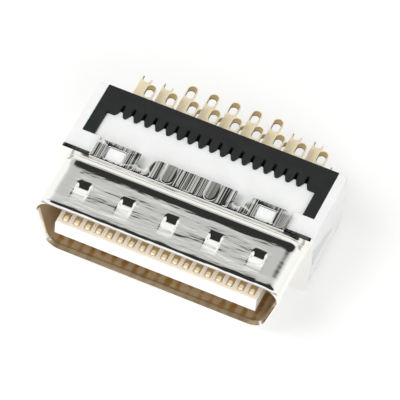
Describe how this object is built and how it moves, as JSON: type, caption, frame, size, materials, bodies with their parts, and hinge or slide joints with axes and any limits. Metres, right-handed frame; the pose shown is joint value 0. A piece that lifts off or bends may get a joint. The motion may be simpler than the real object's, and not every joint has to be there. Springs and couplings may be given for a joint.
{
  "type": "scsi cable connector",
  "caption": "Half-pitch ribbon plug for a cable end: a flanged D-shaped metal shell round a contact tongue, with a moulded body and staggered solder tails.",
  "frame": {"origin": "middle of the flange's front face", "axes": "+X along the contact rows, -Y towards the mating side, +Z towards the wide side of the shell"},
  "size_m": [0.0294, 0.0234, 0.0092],
  "materials": {
    "plated_steel": "bright nickel plate with fine drawing marks",
    "white_moulding": "white satin moulding",
    "black_moulding": "black satin moulding",
    "gold_plate": "pale gold plate"
  },
  "bodies": {
    "root": {"front_shell": "plated_steel", "insulator": "white_moulding", "tail_comb": "black_moulding", "contact_top_01": "gold_plate", "contact_top_02": "gold_plate", "contact_top_03": "gold_plate", "contact_top_04": "gold_plate", "contact_top_05": "gold_plate", "contact_top_06": "gold_plate", "contact_top_07": "gold_plate", "contact_top_08": "gold_plate", "contact_top_09": "gold_plate", "contact_top_10": "gold_plate", "contact_top_11": "gold_plate", "contact_top_12": "gold_plate", "contact_top_13": "gold_plate", "contact_top_14": "gold_plate", "contact_top_15": "gold_plate", "contact_top_16": "gold_plate", "contact_top_17": "gold_plate", "contact_top_18": "gold_plate", "contact_bottom_01": "gold_plate", "contact_bottom_02": "gold_plate", "contact_bottom_03": "gold_plate", "contact_bottom_04": "gold_plate", "contact_bottom_05": "gold_plate", "contact_bottom_06": "gold_plate", "contact_bottom_07": "gold_plate", "contact_bottom_08": "gold_plate", "contact_bottom_09": "gold_plate", "contact_bottom_10": "gold_plate", "contact_bottom_11": "gold_plate", "contact_bottom_12": "gold_plate", "contact_bottom_13": "gold_plate", "contact_bottom_14": "gold_plate", "contact_bottom_15": "gold_plate", "contact_bottom_16": "gold_plate", "contact_bottom_17": "gold_plate", "contact_bottom_18": "gold_plate"}
  },
  "joints": []
}
